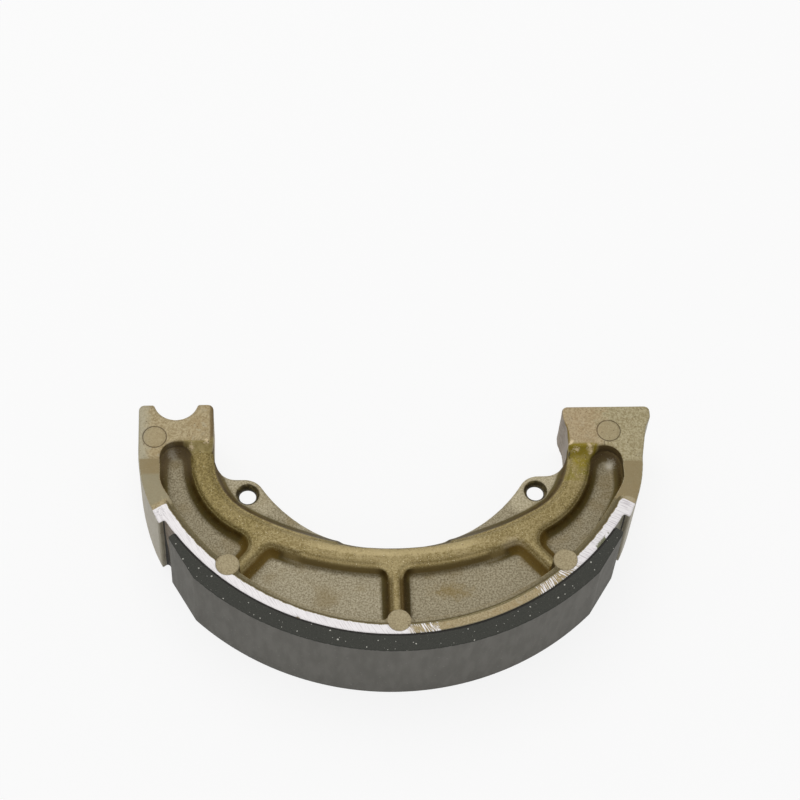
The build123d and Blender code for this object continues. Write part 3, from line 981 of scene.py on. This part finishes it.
# %% Tones of the lip, the edge line and a chipped spot
LIP_RADII = (70.6, 72.4)
CHIP_ANGLES = (48.3, 51.6)
lip_shade = (1 - on_pad) * radius.between(*LIP_RADII, 0.3) * level.rise(12.5, 13.2) * (1 - ramp)
lip_shade = lip_shade * (1 - turned_by.rise(61, 63))
lip_side = 0.25 + turned_by.rise(20, 36) * 0.35
lip_tone = coated(floor_tone, lip_side, (84, 74, 42))
lip_tone = coated(lip_tone, radius.rise(71.3, 71.9), (82, 71, 38))
colour = coated(colour, lip_shade * 0.9, lip_tone)
edge_line = (1 - on_pad) * (radius + ragged).between(72.2, 72.4, 0.1) * level.rise(13.6, 13.9)
colour = coated(colour, edge_line * 0.25, (196, 186, 140))
colour = coated(colour, bare, cut_tone)
chip_angle = angle + medium_swing * 5
chip = (radius + fine_swing * 1.6).rise(73.9, 74.4) * chip_angle.between(*CHIP_ANGLES, 0.4)
colour = coated(colour, chip * level.rise(13.2, 13.6), (132, 132, 108))
colour = coated(colour, glue, (34, 28, 18))
print("edge and lip:", len(cast.tree.nodes), "nodes")

# %% [markdown]
# Last come the things that lie on everything else: tiny painted highlights on the proud
# parts, pits in the rough skin, and the dark outlines of the ejector pins.

# %% Glints, pits and pin outlines
FLOW_MARK_X = 60.9
rough_skin = 1 - bare
# Painted highlights: tiny pale glints, most of them on the bead and ribs.
glints = glitter.rise(0.7, 0.76) * rough_skin * (crest * 0.6 + 0.25) * (1 - steep)
colour = coated(colour, glints, (226, 214, 180))
pits = specks.rise(0.68, 0.74) * rough_skin * (1 - ramp)
colour = coated(colour, pits * 0.6, (72, 50, 24))
flow_mark = 1 - (x - FLOW_MARK_X).math("ABSOLUTE").rise(0.1, 0.25)
flow_mark = flow_mark * y.between(-14.6, -13.5, 0.2) * level.rise(8, 8.5)
pad_line = pad_away.between(3.3, 3.4, 0.12) * level.rise(13.6, 13.9)
dark_lines = ring_line + flow_mark * 0.7 + pad_line * 0.6
colour = coated(colour, dark_lines * upper * (medium * 0.6 + 0.4), (64, 48, 20))
print("glints and pits:", len(cast.tree.nodes), "nodes")

# %% Hand the masks to the shader
cast.set(
    Base_Color=colour,
    Metallic=0.25 - bare * 0.1,
    Specular_IOR_Level=0.25,
    Roughness=0.55 - crest * 0.15 + bare * 0.1,
    Normal=bumped(cast, fine * rough_skin + strokes * bare * 0.5, 0.08),
)
casting.data.materials.append(cast.material)
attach(casting, "root")
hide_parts("shoe_casting")
print("cast skin has", len(cast.tree.nodes), "nodes")

# %% [markdown]
# ## The friction lining
# The lining is moulded from fibre, resin and fillers, then ground to the drum's radius with a
# flat bevel at each end. It is swept here section by section along the arc, so its edges get
# their small radius and its outline stays true to the drawing.

# %% Lining sections
SEAT_RADIUS = 75.1
DRUM_RADIUS = 80.0
LINING_HALF_ANGLE = 54.5
BEVEL_START_ANGLE = 44.4
BEVEL_END_RADII = {-1: 77.3, 1: 78.0}
LINING_WIDTH = 29.0
EDGE_ROUND = 0.25
CORNER_STEPS = 3


def outer_radius(degrees):
    """The lining's outer radius: the drum's, and on the bevels that of a straight line."""
    beyond = abs(degrees)
    if beyond <= BEVEL_START_ANGLE:
        return DRUM_RADIUS
    end_radius = BEVEL_END_RADII[1 if degrees > 0 else -1]
    start, end = on_arc(DRUM_RADIUS, BEVEL_START_ANGLE), on_arc(end_radius, LINING_HALF_ANGLE)
    ray = on_arc(1.0, beyond)
    run = end - start
    return (start.x * run.y - start.y * run.x) / (ray.x * run.y - ray.y * run.x)


def lining_section(degrees, inset):
    """Loop of points round the lining at one angle, with rounded corners and an inset."""
    low, high = SEAT_RADIUS + inset, outer_radius(degrees) - inset
    bottom, top = inset, LINING_WIDTH - inset
    edge = EDGE_ROUND
    corners = ((low, bottom, 180), (high, bottom, 270), (high, top, 0), (low, top, 90))
    loop = []
    for radial, height, start in corners:
        centre_r = radial + (edge if radial == low else -edge)
        centre_z = height + (edge if height == bottom else -edge)
        for step in range(CORNER_STEPS + 1):
            turn_angle = math.radians(start + 90 * step / CORNER_STEPS)
            loop.append((centre_r + edge * math.cos(turn_angle), centre_z + edge * math.sin(turn_angle)))
    return loop


end_radii = [round(outer_radius(side * LINING_HALF_ANGLE), 2) for side in (-1, 1)]
print("the lining's bevels end at radii of", end_radii, "mm")


# %% Lining mesh
SECTION_STEP = 0.5
FIRST_STEP = 0.3
END_ROUND = 0.2


def swept(name, sections):
    """Closed mesh through loops of points, each loop at its own angle, in metres."""
    mesh = bpy.data.meshes.new(name)
    shape = bmesh.new()
    rings = []
    for degrees, loop in sections:
        ring = []
        for radial, height in loop:
            spot = on_arc(radial, degrees)
            ring.append(shape.verts.new((spot.x * MM, spot.y * MM, height * MM)))
        rings.append(ring)
    for first, second in zip(rings, rings[1:]):
        count = len(first)
        for i in range(count):
            j = (i + 1) % count
            shape.faces.new((first[i], first[j], second[j], second[i]))
    shape.faces.new(rings[0])
    shape.faces.new(list(reversed(rings[-1])))
    bmesh.ops.recalc_face_normals(shape, faces=shape.faces)
    shape.to_mesh(mesh)
    shape.free()
    piece = bpy.data.objects.new(name, mesh)
    bpy.context.scene.collection.objects.link(piece)
    return piece


stations = list(np.arange(-LINING_HALF_ANGLE + FIRST_STEP, LINING_HALF_ANGLE - 0.2, SECTION_STEP))
stations += [-BEVEL_START_ANGLE, BEVEL_START_ANGLE]
sections = [(a, lining_section(a, 0.0)) for a in sorted(stations)]
end_angle = LINING_HALF_ANGLE - 0.001
sections.insert(0, (-end_angle, lining_section(-end_angle, END_ROUND)))
sections.append((end_angle, lining_section(end_angle, END_ROUND)))
lining = swept("lining_body", sections)
keep_in_box(lining)
print("lining:", len(lining.data.polygons), "faces")

# %% [markdown]
# The face that touches the drum is ground: mid grey, with faint streaks along the arc. The side
# faces are as moulded, darker and finer, and a black seam of adhesive runs along the casting.

# %% Lining finish
pad = Finish("moulded_friction_material")
where, x, y, z = place(pad)
normal = pad.node("ShaderNodeNewGeometry", {}, {}, "Normal")
nz = pad.node("ShaderNodeSeparateXYZ", {}, {0: normal}, "Z")
radius = (x * x + y * y).math("SQRT")
arc_length = x.math("ARCTAN2", 0 - y) * DRUM_RADIUS
level = (z - MID_HEIGHT).math("ABSOLUTE")
fine = grain(pad, where, 0.3, 3.0, 0.6)
medium = grain(pad, where, 1.2, 2.0)
side_face = nz.math("ABSOLUTE").rise(0.3, 0.6).math("MAXIMUM", (level + medium).rise(14.6, 14.75))
seam = 1 - (radius + (medium - 0.5) * 0.4).rise(75.45, 75.7)
streak_place = pad.node("ShaderNodeVectorMath", {"operation": "MULTIPLY"}, {0: where, 1: (1, 1, 0.3)})
streaks = grain(pad, streak_place, 2.6, 3.0)
ground = mottled(pad, streaks, (104, 102, 96), (115, 113, 107), 0.3, 0.7)
ground = blend(pad, fine.rise(0.5, 0.7) * 0.3, ground, linear(120, 117, 108))
moulded = mottled(pad, fine, (49, 50, 44), (62, 62, 56), 0.3, 0.7)
colour = blend(pad, side_face, ground, moulded)
print("lining's two faces:", len(pad.tree.nodes), "nodes")

# %% [markdown]
# Pale flecks of filler are cut open on the side faces. A pattern of cells gives one dot to each
# square of two millimetres, and a slow noise decides which dots are large enough to show.

# %% Pale flecks of filler in the lining
FLECK_CELL = 2.0
side_place = pad.node("ShaderNodeCombineXYZ", {}, {0: x, 1: y, 2: 0.0})
face_place = pad.node("ShaderNodeCombineXYZ", {}, {0: arc_length, 1: z, 2: 0.0})
both_places = {0: side_face, 4: face_place, 5: side_place}
chosen_place = pad.node("ShaderNodeMix", {"data_type": "VECTOR"}, both_places, 1)
cells = {"Vector": chosen_place, "Scale": 1 / FLECK_CELL}
dots = pad.node("ShaderNodeTexVoronoi", {"voronoi_dimensions": "2D"}, cells, "Distance")
fleck_size = grain(pad, where, 1.4, 2.0).rise(0.5, 0.75) * 0.15
flecks = 1 - (dots - fleck_size).rise(0.0, 0.03)
colour = blend(pad, flecks * (side_face * 0.7 + 0.12), colour, linear(206, 204, 194))
colour = blend(pad, seam * side_face, colour, linear(20, 16, 10))
pad.set(
    Base_Color=colour,
    Roughness=0.85,
    Normal=bumped(pad, fine, 0.05),
)
lining.data.materials.append(pad.material)
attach(lining, "root")
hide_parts("friction_lining")
print("lining has", len(pad.tree.nodes), "nodes")

# %% [markdown]
# ## Close the scene
# The colours are shown through the standard view transform. Looks may not change
# dimensions.

# %% Standard view transform
bpy.context.scene.view_settings.view_transform = "Standard"
